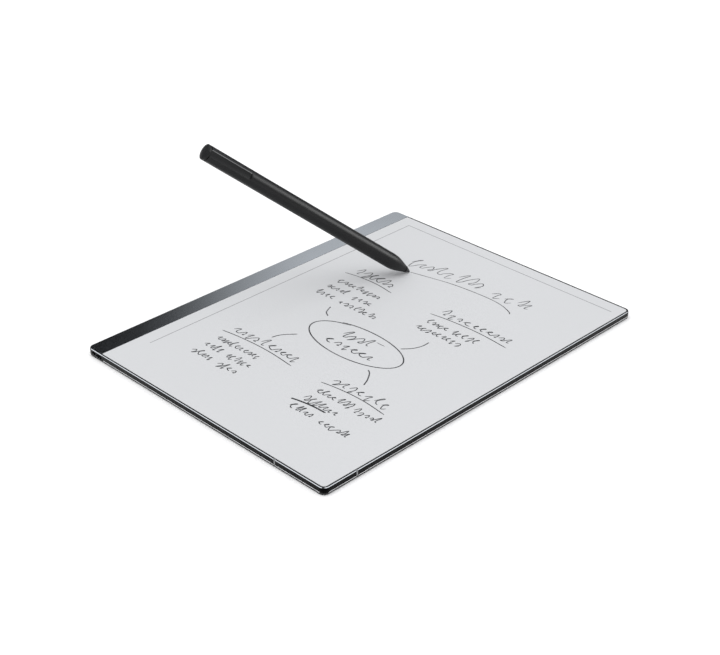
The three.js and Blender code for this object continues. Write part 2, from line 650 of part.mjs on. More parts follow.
function addPenElectronics(stylus) {
  const innerR = PEN_BORE_R - PEN_INNER_CLEARANCE;
  const addBoard = (name, material, { width, height, span }) => {
    addBlock(stylus, name, material, around(0, width), height, span);
  };
  add(stylus, 'nib_coil', tube(NOSE_BORE_R, innerR, NIB_COIL_SPAN), copper);
  add(stylus, 'nib_sensor', drum(innerR, NIB_SENSOR_SPAN), steel);
  addBoard('pen_board', boardGreen, PEN_BOARD);
  addBoard('pen_carrier', chipBlack, PEN_CARRIER);
  const { width, height, length, places } = PEN_MAGNET;
  places.forEach((z, index) => {
    addBlock(stylus, `pen_magnet_${index + 1}`, magnetNickel, around(0, width), height, around(z, length));
  });
  add(stylus, 'eraser_sensor', drum(innerR, ERASER_SENSOR_SPAN), steel);
  add(stylus, 'eraser_coil', tube(NOSE_BORE_R, innerR, ERASER_COIL_SPAN), copper);
}

function addEraserCap(stylus) {
  const { edge, edgeSteps, dome, stemStart, plugStart } = CAP;
  const plugR = PEN_BORE_R - CAP.plugClearance;
  const seam = BARREL_END + CAP_SEAM;
  const rim = [];
  for (let step = 0; step <= edgeSteps; step += 1) {
    const angle = (step / edgeSteps) * (Math.PI / 2);
    rim.push([PEN_R - edge + edge * Math.cos(angle), PEN_LENGTH - dome - edge + edge * Math.sin(angle)]);
  }
  add(stylus, 'eraser_cap', turned([
    [0, stemStart], [NIB_STEM_R, stemStart], [NIB_STEM_R, plugStart], [plugR, plugStart],
    [plugR, seam], [PEN_R - 0.1, seam], [PEN_R, seam + 0.1],
    ...rim, [PEN_R * 0.5, PEN_LENGTH - dome * 0.25], [0, PEN_LENGTH],
  ]), penBlack);
}

function makeStylus() {
  const stylus = new THREE.Group();
  addBarrel(stylus);
  addNib(stylus);
  addPenElectronics(stylus);
  addEraserCap(stylus);
  stylus.rotation.order = 'ZYX';
  stylus.rotation.y = THREE.MathUtils.degToRad(PEN_TILT_DEG);
  stylus.rotation.z = THREE.MathUtils.degToRad(PEN_HEADING_DEG);
  stylus.position.set(TIP_POINT[0], TIP_POINT[1], TOP + TIP_RISE);
  return stylus;
}

const object = new THREE.Group();
object.add(makeTablet(), makeStylus());

export default object;
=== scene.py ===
"""A slim paper-like note tablet with its stylus on the page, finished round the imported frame."""

import json
import math
import random

import bmesh
import bpy
from mathutils import Matrix, Vector


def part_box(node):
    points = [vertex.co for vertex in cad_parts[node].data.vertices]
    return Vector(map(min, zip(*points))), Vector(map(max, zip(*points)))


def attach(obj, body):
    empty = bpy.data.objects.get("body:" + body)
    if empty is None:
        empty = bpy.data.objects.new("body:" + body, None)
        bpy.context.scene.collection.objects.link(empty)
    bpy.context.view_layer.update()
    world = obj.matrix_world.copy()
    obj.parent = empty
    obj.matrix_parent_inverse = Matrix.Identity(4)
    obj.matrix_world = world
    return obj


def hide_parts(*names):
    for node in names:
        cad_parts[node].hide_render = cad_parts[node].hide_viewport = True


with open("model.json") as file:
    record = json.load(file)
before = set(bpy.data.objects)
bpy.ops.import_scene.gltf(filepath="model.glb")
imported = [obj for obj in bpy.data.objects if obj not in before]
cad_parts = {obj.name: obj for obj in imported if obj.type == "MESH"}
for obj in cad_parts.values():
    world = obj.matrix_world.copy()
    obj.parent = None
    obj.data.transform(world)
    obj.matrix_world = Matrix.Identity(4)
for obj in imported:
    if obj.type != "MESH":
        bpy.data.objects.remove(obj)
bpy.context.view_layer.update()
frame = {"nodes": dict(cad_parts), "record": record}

MM = 0.001
NODES = frame["nodes"]


def low(node):
    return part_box(node)[0]


def high(node):
    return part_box(node)[1]


def middle(node):
    return (low(node) + high(node)) / 2


# ---- places taken from the frame ----
TABLET_LOW = Vector((low("spine_bar").x, low("spine_bar").y, low("foot_1").z))
TABLET_HIGH = Vector((high("frame_side_rail").x, high("spine_bar").y, high("frame_side_rail").z))
TOP = TABLET_HIGH.z
FRAME_BOTTOM = low("frame_side_rail").z
SCREEN_TOP = high("screen_cover").z

# ---- sizes of the tablet's pieces, in metres ----
CORNER_R = 3.6 * MM
CORNER_STEPS = 20
TOP_CHAMFER = (0.3 * MM, 0.3 * MM)  # how far in, how high
LOWER_CHAMFER = (0.2 * MM, 0.6 * MM)
SPINE_LOWER_CHAMFER = (0.15 * MM, 0.15 * MM)
WALL = 0.85 * MM
SPINE_TOP_WALL = 0.45 * MM
SPINE_INNER_X = -81.7 * MM
COVER_RIM = 2 * MM  # width of the rear cover's rim inside its outline
COVER_SETDOWN = 0.2 * MM
COVER_GAP = 0.05 * MM  # between the rear cover and the frame
FOOT_EASE = 0.05 * MM
SOFT_EDGE = 0.05 * MM
SLACK = 1e-6  # for tests of where an edge lies
PORT_WIDTH = 8.3 * MM
PORT_HEIGHT = 2.4 * MM
PORT_WALL = 0.28 * MM
PORT_END_WALL = 0.6 * MM
TONGUE_STRIPS = 12
BUTTON_WIDTH = 6.6 * MM
BUTTON_HEIGHT = 1.5 * MM
BUTTON_CLEARANCE = 0.3 * MM
BUTTON_FLANGE = 0.45 * MM
CONTACT_SLOT_MARGIN = (1 * MM, 0.4 * MM)  # past the contacts, along Y and Z
SQUARE_ON = 0.9998  # a face turned this squarely to an axis is flat, so it's shaded flat

# ---- sizes of the stylus, along its own axis from the nib's tip ----
PEN_LENGTH = 156.6 * MM
PEN_R = 4.75 * MM
NOSE_START = 4.4 * MM
NOSE_TAPER_END = 12.9 * MM
NOSE_BLEND = (8 * MM, 16.5 * MM)
NOSE_R = 2.2 * MM
NOSE_EDGE = 0.15 * MM
NOSE_BORE = 1.45 * MM
BORE = 3.2 * MM
BORE_CONE = (16 * MM, 19 * MM)  # where the nose's bore widens to the barrel's
BARREL_END = 154.4 * MM
BARREL_RIM = 0.12 * MM
BARREL_RINGS = [z * MM for z in (40, 70, 100, 125)]
CAP_SEAM = 0.4 * MM
CAP_DOME = 0.28 * MM
CAP_EDGE = 0.35 * MM
CAP_PLUG_R = 2.85 * MM
STEM_R = 1.1 * MM
CAP_STEM_START = 136 * MM
CAP_PLUG_START = 148 * MM
NIB_STEM_END = 33 * MM
NIB_BASE = 4.0 * MM
NIB_TIP_R = 0.5 * MM
SENSOR_MIDDLE = 36.3 * MM  # from the tip to the middle of the nib's sensor
PEN_STEPS = 96
LABEL_START = BARREL_END - 28.4 * MM
LABEL_WIDTH = 3.8 * MM
LABEL_DEPTH = 0.75 * MM
LABEL_CORNER = 1.1 * MM
LABEL_TILT = math.radians(4)
LABEL_ANGLE = math.radians(112)

# ---- page marks, whose places are in millimetres ----
STROKE = 0.62 * MM
GUIDE_LINE = 0.85 * MM
INK_THICKNESS = 0.02 * MM
LIFT_CHANCE = 0.4  # how often the pen is lifted after a wave
HEADING = {"height": 6.4, "rise": 1.2, "pitch": 4.6}
WORD = {"height": 4.6, "rise": 0.8, "pitch": 3.1}
WORD_SPACE = 4.2


# ---- Camera, floor and lights ----
def set_camera():
    """Looks across the page from its lower right corner, about 30 degrees up."""
    azimuth = math.radians(44.566)
    elevation = math.radians(29.951)
    roll = math.radians(0.274)
    distance = 0.83133
    target = Vector((-2.55 * MM, -1.75 * MM, TOP))
    back = Vector((
        math.sin(azimuth) * math.cos(elevation),
        -math.cos(azimuth) * math.cos(elevation),
        math.sin(elevation),
    ))
    camera_data = bpy.data.cameras.new("camera")
    camera_data.lens = 73.86
    camera_data.sensor_width = 36
    camera_data.clip_start = 0.01
    camera = bpy.data.objects.new("camera", camera_data)
    bpy.context.scene.collection.objects.link(camera)
    camera.location = target + back * distance
    camera.rotation_mode = "QUATERNION"
    turn = (-back).to_track_quat("-Z", "Y")
    camera.rotation_quaternion = turn @ Matrix.Rotation(roll, 4, "Z").to_quaternion()
    bpy.context.scene.camera = camera


def add_floor():
    bpy.ops.object.select_all(action="DESELECT")
    bpy.ops.mesh.primitive_plane_add(size=8, location=(0, 0, 0))
    floor = bpy.context.object
    floor.name = "floor"
    paint = bpy.data.materials.new("white_table")
    paint.use_nodes = True
    shader = paint.node_tree.nodes["Principled BSDF"]
    shader.inputs["Base Color"].default_value = (0.9, 0.9, 0.9, 1)
    shader.inputs["Roughness"].default_value = 0.9
    shader.inputs["Specular IOR Level"].default_value = 0.1
    floor.data.materials.append(paint)


def add_softbox(name, place, aim, size, power):
    lamp_data = bpy.data.lights.new(name, "AREA")
    lamp_data.shape = "RECTANGLE"
    lamp_data.size, lamp_data.size_y = size
    lamp_data.energy = power
    lamp = bpy.data.objects.new(name, lamp_data)
    bpy.context.scene.collection.objects.link(lamp)
    lamp.location = place
    lamp.rotation_mode = "QUATERNION"
    lamp.rotation_quaternion = (Vector(aim) - Vector(place)).to_track_quat("-Z", "Y")
    return lamp


def feed(tree, socket, source):
    """Sets a socket from another socket or from a plain number."""
    if isinstance(source, (int, float)):
        socket.default_value = source
    else:
        tree.links.new(source, socket)


def calculate(tree, operation, *sources):
    node = tree.nodes.new("ShaderNodeMath")
    node.operation = operation
    for socket, source in zip(node.inputs, sources):
        feed(tree, socket, source)
    return node.outputs[0]


def between(tree, value, start, end):
    """A node that gives 0 where value is at start and 1 where it is at end."""
    ramp = tree.nodes.new("ShaderNodeMapRange")
    ramp.inputs["From Min"].default_value = start
    ramp.inputs["From Max"].default_value = end
    tree.links.new(value, ramp.inputs["Value"])
    return ramp


def mix_colours(tree, factor, first, second):
    """Blends two colours, each a socket or a plain colour."""
    mix = tree.nodes.new("ShaderNodeMix")
    mix.data_type = "RGBA"
    tree.links.new(factor, mix.inputs["Factor"])
    for socket, source in ((mix.inputs["A"], first), (mix.inputs["B"], second)):
        if isinstance(source, tuple):
            socket.default_value = (*source, 1)
        else:
            tree.links.new(source, socket)
    return mix.outputs["Result"]


def set_world():
    """Even white surroundings, but mirrors see lit walls and a lit ceiling against black."""
    world = bpy.data.worlds.new("studio")
    bpy.context.scene.world = world
    world.use_nodes = True
    tree = world.node_tree
    nodes, links = tree.nodes, tree.links
    background = nodes["Background"]
    background.inputs["Strength"].default_value = 1.0
    direction = nodes.new("ShaderNodeTexCoord").outputs["Generated"]

    def ramp_along(axis, start, end):
        """0 where the direction's part along axis is below start, 1 above end."""
        dot = nodes.new("ShaderNodeVectorMath")
        dot.operation = "DOT_PRODUCT"
        links.new(direction, dot.inputs[0])
        dot.inputs[1].default_value = axis
        ramp = between(tree, dot.outputs["Value"], start, end)
        ramp.interpolation_type = "SMOOTHSTEP"
        return ramp.outputs["Result"]

    def combine(operation, *sources):
        return calculate(tree, operation, *sources)

    up = (0, 0, 1)
    # The far wall is lit. Its left edge is what the spine strip mirrors from end to end.
    wall_facing = math.radians(51.5)
    far_wall = ramp_along((math.cos(wall_facing), math.sin(wall_facing), 0), -0.05, 0.1)
    far_wall = combine("MULTIPLY", far_wall, ramp_along(up, 0.33, 0.47))
    # The ceiling is lit too, except for a flag over the camera's side.
    ceiling = ramp_along(up, 0.56, 0.61)
    flag = ramp_along((0.283, -0.276, 0.915), 0.84, 0.93)
    ceiling = combine("MULTIPLY", ceiling, combine("SUBTRACT", 1.0, flag))
    # A lit wall to the left is what the near edge's chamfer mirrors.
    left_wall = ramp_along((-0.77, -0.63, 0), 0.45, 0.6)
    left_wall = combine("MULTIPLY", left_wall, ramp_along(up, 0.3, 0.42))
    lit = combine("MAXIMUM", combine("MAXIMUM", far_wall, left_wall), ceiling)
    mirrored = nodes.new("ShaderNodeVectorMath")
    mirrored.operation = "SCALE"
    mirrored.inputs[0].default_value = (0.93, 0.96, 1.0)
    links.new(combine("ADD", lit, 0.012), mirrored.inputs["Scale"])
    is_mirrored = nodes.new("ShaderNodeLightPath").outputs["Is Glossy Ray"]
    seen = mix_colours(tree, is_mirrored, (1.0, 1.0, 1.01), mirrored.outputs[0])
    links.new(seen, background.inputs["Color"])


def set_stage():
    set_camera()
    add_floor()
    set_world()
    overhead = add_softbox(
        "overhead", place=(0.085, -0.425, 2.2), aim=(0, 0, 0), size=(1.6, 1.6), power=20)
    overhead.visible_glossy = False
    strip = add_softbox(
        "stylus_strip", place=(0.9, 1.15, 0.5), aim=(0, 0, 0.05), size=(0.95, 0.4), power=11)
    receivers = bpy.data.collections.new("lit_by_strip")
    strip.light_linking.receiver_collection = receivers
    bpy.context.scene.view_settings.view_transform = "Standard"


# ---- Finishes ----
def new_group(name, inputs, outputs):
    """A shader node group; inputs and outputs are (name, kind, value) and (name, kind)."""
    group = bpy.data.node_groups.new(name, "ShaderNodeTree")
    for socket_name, kind, value in inputs:
        socket = group.interface.new_socket(socket_name, in_out="INPUT", socket_type=kind)
        if value is not None:
            socket.default_value = value
    for socket_name, kind in outputs:
        group.interface.new_socket(socket_name, in_out="OUTPUT", socket_type=kind)
    return group, group.nodes.new("NodeGroupInput"), group.nodes.new("NodeGroupOutput")


def noise_in(tree, vector, scale, detail, roughness=0.55):
    noise = tree.nodes.new("ShaderNodeTexNoise")
    noise.inputs["Detail"].default_value = detail
    noise.inputs["Roughness"].default_value = roughness
    tree.links.new(vector, noise.inputs["Vector"])
    feed(tree, noise.inputs["Scale"], scale)
    return noise.outputs["Fac"]


def spread_round(tree, value, amount, centre):
    """centre + (value - 0.5) * amount; amount and centre are sockets or numbers."""
    shifted = calculate(tree, "SUBTRACT", value, 0.5)
    return calculate(tree, "MULTIPLY_ADD", shifted, amount, centre)


def surface_group(name, inputs):
    """A group whose colour, roughness and height all change over the surface."""
    return new_group(name, [
        ("Vector", "NodeSocketVector", None),
        ("Colour", "NodeSocketColor", (0.5, 0.5, 0.5, 1)),
        *[(label, "NodeSocketFloat", value) for label, value in inputs],
    ], [
        ("Colour", "NodeSocketColor"),
        ("Roughness", "NodeSocketFloat"),
        ("Height", "NodeSocketFloat"),
    ])


def give_out(group, inside, outside, tone, sheen, height):
    """Sends out the group's colour scaled by tone, its roughness and its height."""
    shaded = group.nodes.new("ShaderNodeVectorMath")
    shaded.operation = "SCALE"
    group.links.new(inside.outputs["Colour"], shaded.inputs[0])
    group.links.new(tone, shaded.inputs["Scale"])
    group.links.new(shaded.outputs[0], outside.inputs["Colour"])
    group.links.new(sheen, outside.inputs["Roughness"])
    group.links.new(height, outside.inputs["Height"])


def make_grain_group():
    """Fine moulded or blasted grain over slow patches of tone and sheen."""
    group, inside, outside = surface_group("moulded_grain", [
        ("Tone spread", 0.1),
        ("Roughness", 0.5),
        ("Roughness spread", 0.1),
        ("Grain scale", 3000.0),
        ("Patch scale", 40.0),
    ])
    vector = inside.outputs["Vector"]
    fine = noise_in(group, vector, inside.outputs["Grain scale"], 3)
    patches = noise_in(group, vector, inside.outputs["Patch scale"], 4)
    patch_tone = spread_round(group, patches, inside.outputs["Tone spread"], 1.0)
    tone = spread_round(group, fine, inside.outputs["Tone spread"], patch_tone)
    sheen = spread_round(group, patches, inside.outputs["Roughness spread"], inside.outputs["Roughness"])
    give_out(group, inside, outside, tone, sheen, fine)
    return group


def make_brushed_group():
    """Very fine straight lines that run along the piece's Y."""
    group, inside, outside = surface_group("brushed_lines", [
        ("Tone spread", 0.1),
        ("Roughness", 0.25),
        ("Roughness spread", 0.08),
    ])
    stretch = group.nodes.new("ShaderNodeVectorMath")
    stretch.operation = "MULTIPLY"
    stretch.inputs[1].default_value = (1, 0.02, 1)
    group.links.new(inside.outputs["Vector"], stretch.inputs[0])
    lines = noise_in(group, stretch.outputs[0], 2600, 4, 0.65)
    clouds = noise_in(group, inside.outputs["Vector"], 30, 3)
    tone = spread_round(group, lines, inside.outputs["Tone spread"], 1.0)
    spread = inside.outputs["Roughness spread"]
    line_sheen = spread_round(group, lines, spread, inside.outputs["Roughness"])
    sheen = spread_round(group, clouds, spread, line_sheen)
    give_out(group, inside, outside, tone, sheen, lines)
    return group


def make_wear_group():
    """Rubs a lighter colour in along sharp edges, in a thin band broken up by noise."""
    group, inside, outside = new_group(
        "rubbed_edges",
        [
            ("Vector", "NodeSocketVector", None),
            ("Colour", "NodeSocketColor", (0.1, 0.1, 0.1, 1)),
            ("Rubbed colour", "NodeSocketColor", (0.3, 0.3, 0.3, 1)),
            ("Amount", "NodeSocketFloat", 0.5),
        ],
        [("Colour", "NodeSocketColor")],
    )
    geometry = group.nodes.new("ShaderNodeNewGeometry")
    rounded = group.nodes.new("ShaderNodeBevel")
    rounded.samples = 4
    rounded.inputs["Radius"].default_value = 0.12 * MM
    facing = group.nodes.new("ShaderNodeVectorMath")
    facing.operation = "DOT_PRODUCT"
    group.links.new(geometry.outputs["True Normal"], facing.inputs[0])
    group.links.new(rounded.outputs["Normal"], facing.inputs[1])
    edges = between(group, facing.outputs["Value"], 0.995, 0.9).outputs[0]
    noise = noise_in(group, inside.outputs["Vector"], 350, 5, 0.7)
    broken = between(group, noise, 0.4, 0.6).outputs[0]
    band = calculate(group, "MULTIPLY", edges, broken)
    mask = calculate(group, "MULTIPLY", band, inside.outputs["Amount"])
    rubbed = mix_colours(group, mask, inside.outputs["Colour"], inside.outputs["Rubbed colour"])
    group.links.new(rubbed, outside.inputs["Colour"])
    return group


GRAIN = make_grain_group()
BRUSHED = make_brushed_group()
WEAR = make_wear_group()


def start_finish(name):
    finish = bpy.data.materials.new(name)
    finish.use_nodes = True
    tree = finish.node_tree
    place = tree.nodes.new("ShaderNodeTexCoord").outputs["Object"]
    return finish, tree, tree.nodes["Principled BSDF"], place


def put_group(tree, group, place, values):
    node = tree.nodes.new("ShaderNodeGroup")
    node.node_tree = group
    tree.links.new(place, node.inputs["Vector"])
    for socket, value in values.items():
        node.inputs[socket].default_value = value
    return node


def bump(tree, shader, height, distance):
    node = tree.nodes.new("ShaderNodeBump")
    node.inputs["Distance"].default_value = distance
    node.inputs["Strength"].default_value = 1.0
    tree.links.new(height, node.inputs["Height"])
    tree.links.new(node.outputs["Normal"], shader.inputs["Normal"])


def coat(tree, shader, texture, relief, colour=None):
    """Feeds the shader from a surface group; colour replaces the group's own when it is given."""
    tree.links.new(colour or texture.outputs["Colour"], shader.inputs["Base Color"])
    tree.links.new(texture.outputs["Roughness"], shader.inputs["Roughness"])
    bump(tree, shader, texture.outputs["Height"], relief)


def grained(name, colour, roughness, metallic=0.0, tone=0.12, grain=3000.0, patch=40.0,
            relief=0.01 * MM, rubbed=None, specular=0.5):
    """A moulded, blasted or coated finish; rubbed gives a lighter colour on worn edges."""
    finish, tree, shader, place = start_finish(name)
    texture = put_group(tree, GRAIN, place, {
        "Colour": (*colour, 1),
        "Tone spread": tone,
        "Roughness": roughness,
        "Roughness spread": 0.1,
        "Grain scale": grain,
        "Patch scale": patch,
    })
    worn_colour = None
    if rubbed:
        wear = put_group(tree, WEAR, place, {"Rubbed colour": (*rubbed, 1), "Amount": 0.55})
        tree.links.new(texture.outputs["Colour"], wear.inputs["Colour"])
        worn_colour = wear.outputs["Colour"]
    coat(tree, shader, texture, relief, worn_colour)
    shader.inputs["Metallic"].default_value = metallic
    shader.inputs["Specular IOR Level"].default_value = specular
    return finish


def brushed(name, colour, roughness, tone=0.1):
    finish, tree, shader, place = start_finish(name)
    texture = put_group(tree, BRUSHED, place, {
        "Colour": (*colour, 1),
        "Tone spread": tone,
        "Roughness": roughness,
        "Roughness spread": 0.06,
    })
    coat(tree, shader, texture, 0.003 * MM)
    shader.inputs["Metallic"].default_value = 1.0
    return finish


def page_finish():
    """Matte e-paper under a textured film: tiny tooth, and tone that drifts by a percent or two."""
    finish, tree, shader, place = start_finish("paper_screen")
    texture = put_group(tree, GRAIN, place, {
        "Colour": (0.54, 0.547, 0.557, 1),
        "Tone spread": 0.03,
        "Roughness": 0.5,
        "Roughness spread": 0.06,
        "Grain scale": 5200.0,
        "Patch scale": 14.0,
    })
    coat(tree, shader, texture, 0.004 * MM)
    shader.inputs["Specular IOR Level"].default_value = 0.25
    return finish


def stroke_finish(name, dark, light, coverage):
    """Drawn line: dark grains with a paler tone between them; more coverage leaves less of it."""
    edge = 0.12
    finish, tree, shader, place = start_finish(name)
    grains = noise_in(tree, place, 2400, 4, 0.7)
    pressure = noise_in(tree, place, 90, 2)
    both = spread_round(tree, pressure, 0.5, grains)
    paleness = between(tree, both, coverage - edge, coverage + edge).outputs[0]
    tree.links.new(mix_colours(tree, paleness, dark, light), shader.inputs["Base Color"])
    shader.inputs["Roughness"].default_value = 0.7
    shader.inputs["Specular IOR Level"].default_value = 0.2
    return finish


def weave_of_traces(name, board, trace):
    """Circuit board: solder mask over a faint grid of tracks."""
    finish, tree, shader, place = start_finish(name)
    tracks = tree.nodes.new("ShaderNodeTexBrick")
    tracks.inputs["Scale"].default_value = 260
    tracks.inputs["Mortar Size"].default_value = 0.012
    tracks.inputs["Color1"].default_value = (*board, 1)
    tracks.inputs["Color2"].default_value = (*[c * 1.25 for c in board], 1)
    tracks.inputs["Mortar"].default_value = (*trace, 1)
    tree.links.new(place, tracks.inputs["Vector"])
    tree.links.new(tracks.outputs["Color"], shader.inputs["Base Color"])
    dull = noise_in(tree, place, 400, 3)
    tree.links.new(spread_round(tree, dull, 0.2, 0.45), shader.inputs["Roughness"])
    bump(tree, shader, tracks.outputs["Fac"], 0.02 * MM)
    return finish


def make_finishes():
    return {
        "spine_metal": brushed("anodised_spine", (0.45, 0.47, 0.49), 0.12),
        "frame_metal": grained(
            "black_anodised_frame", (0.003, 0.003, 0.0035), 0.3, metallic=1.0, tone=0.2,
            grain=4200, rubbed=(0.05, 0.05, 0.055)),
        "chamfer_metal": brushed("polished_chamfer", (0.86, 0.87, 0.88), 0.16, tone=0.06),
        "lower_chamfer_metal": brushed("satin_lower_chamfer", (0.85, 0.86, 0.87), 0.4, tone=0.06),
        "break_plastic": grained("antenna_break", (0.20, 0.205, 0.21), 0.5, tone=0.1),
        "cover_plastic": grained(
            "rear_cover_grain", (0.012, 0.012, 0.013), 0.5, tone=0.2, grain=2600,
            relief=0.02 * MM, rubbed=(0.1, 0.1, 0.105)),
        "screen_film": page_finish(),
        "panel_foil": grained("display_foil", (0.6, 0.6, 0.57), 0.6),
        "seal_rubber": grained("screen_seal", (0.008, 0.008, 0.008), 0.8, specular=0.2),
        "foot_rubber": grained(
            "foot_rubber", (0.02, 0.02, 0.021), 0.85, tone=0.3, grain=1500, relief=0.03 * MM),
        "circuit_board": weave_of_traces("circuit_board", (0.015, 0.11, 0.055), (0.05, 0.2, 0.1)),
        "chip_resin": grained("chip_resin", (0.02, 0.02, 0.022), 0.45, grain=5000),
        "inner_steel": brushed("rolled_steel", (0.55, 0.56, 0.57), 0.35),
        "cell_foil": grained("cell_foil", (0.5, 0.5, 0.48), 0.4, metallic=0.8, patch=120, relief=0.03 * MM),
        "flex_film": grained("amber_film", (0.45, 0.2, 0.04), 0.3, tone=0.2),
        "contact_gold": brushed("gold_contact", (0.78, 0.56, 0.24), 0.25),
        "magnet_nickel": brushed("nickel_plate", (0.6, 0.6, 0.6), 0.25),
        "coil_copper": grained(
            "wound_copper", (0.6, 0.28, 0.14), 0.35, metallic=0.9, grain=2500, relief=0.05 * MM),
        "stylus_plastic": grained(
            "stylus_soft_coat", (0.006, 0.0062, 0.0065), 0.4, tone=0.15, grain=3800, patch=60,
            relief=0.012 * MM, rubbed=(0.05, 0.05, 0.05), specular=0.3),
        # Painted highlight: a lighter coat for the pocket's upper wall, standing in for the bright line the
        # lit rim shows.
        "stylus_rim": grained("stylus_rim_painted_highlight", (0.17, 0.17, 0.172), 0.35, grain=3800),
        "nib_plastic": grained(
            "hard_felt_nib", (0.013, 0.013, 0.014), 0.62, tone=0.3, grain=2600, relief=0.03 * MM),
        "graphite": stroke_finish("graphite_stroke", (0.03, 0.031, 0.034), (0.25, 0.25, 0.26), 0.62),
        "graphite_light": stroke_finish("light_graphite", (0.05, 0.05, 0.054), (0.3, 0.3, 0.31), 0.58),
        "guide_ink": stroke_finish("guide_ink", (0.14, 0.14, 0.15), (0.26, 0.26, 0.27), 0.6),
    }


# ---- Modelling by hand ----
def take(piece):
    """Makes a piece the only one selected, and active."""
    bpy.ops.object.select_all(action="DESELECT")
    piece.select_set(True)
    bpy.context.view_layer.objects.active = piece


def start_edit(piece, mode):
    take(piece)
    bpy.ops.object.mode_set(mode="EDIT")
    bpy.ops.mesh.select_mode(type=mode)
    bpy.ops.mesh.select_all(action="DESELECT")


def end_edit():
    bpy.ops.object.mode_set(mode="OBJECT")


def choose(kind, test):
    """Selects the faces or edges of the piece in edit mode that pass a test."""
    data = bpy.context.object.data
    shape = bmesh.from_edit_mesh(data)
    shape.normal_update()
    for part in (shape.faces if kind == "FACE" else shape.edges):
        part.select_set(bool(test(part)))
    shape.select_flush_mode()
    bmesh.update_edit_mesh(data)


def edge_middle(edge):
    return (edge.verts[0].co + edge.verts[1].co) / 2


def is_upright(edge):
    span = edge.verts[1].co - edge.verts[0].co
    return abs(span.x) < 1e-7 and abs(span.y) < 1e-7


def add_block(name, corner_low, corner_high):
    size = Vector(corner_high) - Vector(corner_low)
    centre = (Vector(corner_high) + Vector(corner_low)) / 2
    bpy.ops.object.select_all(action="DESELECT")
    bpy.ops.mesh.primitive_cube_add(size=1, location=centre, scale=size)
    piece = bpy.context.object
    piece.name = name
    bpy.ops.object.transform_apply(location=True, rotation=True, scale=True)
    return piece


def round_flat_edges(piece, z, radius):
    """Rounds the edges that lie level at height z."""
    start_edit(piece, "EDGE")
    choose("EDGE", lambda edge: abs(edge_middle(edge).z - z) < SLACK and not is_upright(edge))
    bpy.ops.mesh.bevel(offset=radius, segments=3, profile=0.5, affect="EDGES")
    end_edit()


def round_upright_edges(piece, radius, steps, test=lambda place: True):
    start_edit(piece, "EDGE")
    choose("EDGE", lambda edge: is_upright(edge) and test(edge_middle(edge)))
    bpy.ops.mesh.bevel(offset=radius, segments=steps, profile=0.5, affect="EDGES", clamp_overlap=False)
    end_edit()


def raise_end(piece, side, inset, height):
    """Draws the top (side 1) or bottom (side -1) face in by inset and out by height."""
    start_edit(piece, "FACE")
    choose("FACE", lambda face: face.normal.z * side > 0.999)
    bpy.ops.mesh.inset(thickness=inset, depth=height, use_even_offset=True)
    end_edit()


def open_through(piece, wall_top, wall_bottom):
    """Insets both ends and bridges them, which makes a hole right through."""
    for side, wall in ((1, wall_top), (-1, wall_bottom)):
        raise_end(piece, side, wall, 0)
    start_edit(piece, "FACE")
    choose("FACE", lambda face: abs(face.normal.z) > 0.999 and len(face.verts) > 8)
    bpy.ops.mesh.bridge_edge_loops()
    end_edit()


def keep(piece, point, direction):
    """Cuts a piece with a plane and keeps the side that direction points to."""
    start_edit(piece, "FACE")
    bpy.ops.mesh.select_all(action="SELECT")
    bpy.ops.mesh.bisect(
        plane_co=point, plane_no=direction, use_fill=True, clear_inner=True, clear_outer=False)
    end_edit()


def copy_of(piece, name):
    take(piece)
    bpy.ops.object.duplicate()
    twin = bpy.context.object
    twin.name = name
    return twin


def discard(piece):
    take(piece)
    bpy.ops.object.delete()


def join_or_cut(piece, other, operation):
    """Applies a boolean with another piece, which is used up."""
    modifier = piece.modifiers.new("shape", "BOOLEAN")
    modifier.object = other
    modifier.operation = operation
    modifier.solver = "EXACT"
    take(piece)
    bpy.ops.object.modifier_apply(modifier=modifier.name)
    discard(other)


def soften(piece, width, steps=2, angle=30):
    modifier = piece.modifiers.new("soft_edges", "BEVEL")
    modifier.width = width
    modifier.segments = steps
    modifier.limit_method = "ANGLE"
    modifier.angle_limit = math.radians(angle)
    modifier.use_clamp_overlap = True
    take(piece)
    bpy.ops.object.modifier_apply(modifier=modifier.name)


def finish_piece(piece, body, finish_name, finishes, nodes=(), smooth=35):
    """Shades a piece, coats it and hangs it on its body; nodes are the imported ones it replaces."""
    take(piece)
    bpy.ops.object.shade_smooth_by_angle(angle=math.radians(smooth))
    for face in piece.data.polygons:
        if max(abs(part) for part in face.normal) > SQUARE_ON:
            face.use_smooth = False
    piece.data.materials.clear()
    piece.data.materials.append(finishes[finish_name])
    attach(piece, body)
    if nodes:
        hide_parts(*nodes)
    return piece


# ---- Tablet ----
def tablet_slab(name, inset, z0, z1, lower, upper):
    """The tablet's outline drawn in by inset, with a chamfer (in, high) at each end."""
    piece = add_block(
        name,
        (TABLET_LOW.x + inset, TABLET_LOW.y + inset, z0 + lower[1]),
        (TABLET_HIGH.x - inset, TABLET_HIGH.y - inset, z1 - upper[1]),
    )
    round_upright_edges(piece, CORNER_R - inset, CORNER_STEPS)
    if upper[1]:
        raise_end(piece, 1, *upper)
    if lower[1]:
        raise_end(piece, -1, *lower)
    return piece


def paint_chamfers(piece, finishes):
    """Finishes the narrow sloping faces along the edges; round the corners the lower ones get the black
    frame finish, painted shade that stands in for the dark reflection of the curved corner.
    """
    piece.data.materials.clear()
    for name in ("frame_metal", "chamfer_metal", "lower_chamfer_metal"):
        piece.data.materials.append(finishes[name])
    for face in piece.data.polygons:
        slope = face.normal.z
        if face.center.z > TOP - TOP_CHAMFER[1] * 1.1 and 0.35 < slope < 0.97:
            face.material_index = 1
            face.use_smooth = False
        elif face.center.z < FRAME_BOTTOM + LOWER_CHAMFER[1] * 1.1 and -0.9 < slope < -0.25:
            # Painted shade: the lower chamfer's corner faces get the black frame finish instead of the
            # bright one, standing in for the dark reflection the curved corner shows.
            along_side = min(abs(face.normal.x), abs(face.normal.y)) < 0.1
            face.material_index = 2 if along_side else 0
            face.use_smooth = not along_side


